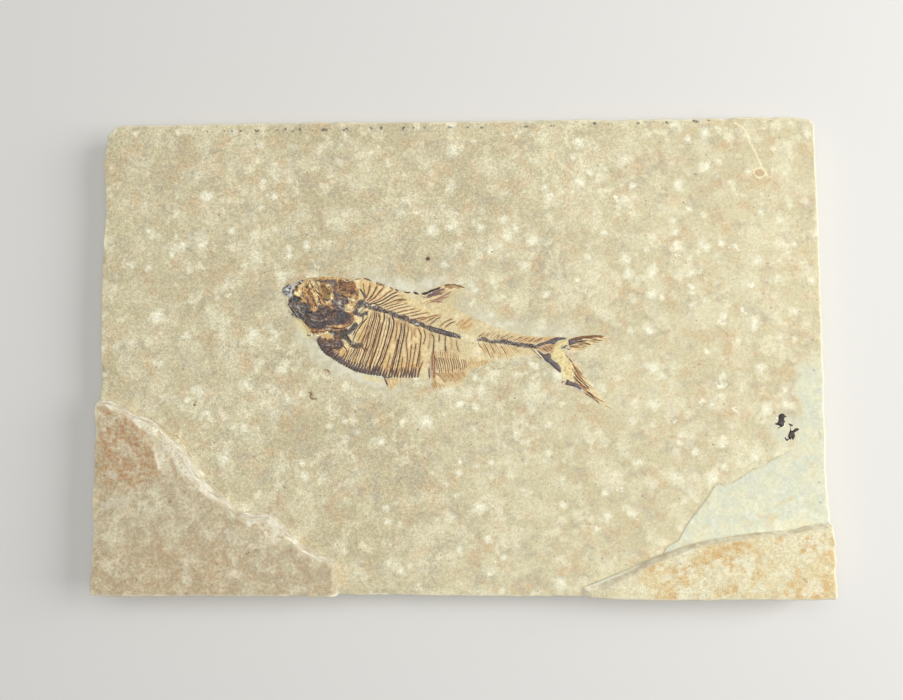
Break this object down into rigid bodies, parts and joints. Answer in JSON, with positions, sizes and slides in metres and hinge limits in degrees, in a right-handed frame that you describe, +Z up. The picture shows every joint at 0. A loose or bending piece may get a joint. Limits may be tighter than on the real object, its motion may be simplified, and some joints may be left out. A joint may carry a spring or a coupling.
{
  "type": "fossil fish slab",
  "caption": "Flat limestone slab, fish side up, with a pressed fossil fish in its upper face and a thicker rock layer left at both lower corners.",
  "frame": {"origin": "under the middle of the slab, on the surface it lies on", "axes": "+X along the slab's long side, from the fish's head to its tail; +Y from the fish's belly to its back; +Z up, out of the split face that carries the fish"},
  "size_m": [0.302, 0.1984, 0.0183],
  "materials": {
    "limestone": "matte split limestone, cream to tan with pale blotches and fine grain, ochre stains on the raised corners",
    "fossil_bone": "dark brown to black fossil bone over amber film, dull to slightly waxy",
    "dark_flake": "black pressed bone or plant scrap, slightly glossy"
  },
  "bodies": {
    "root": {"stone_slab": "limestone", "fossil_fish": "fossil_bone", "upper_dark_flake": "dark_flake", "lower_dark_flake": "dark_flake"}
  },
  "joints": []
}
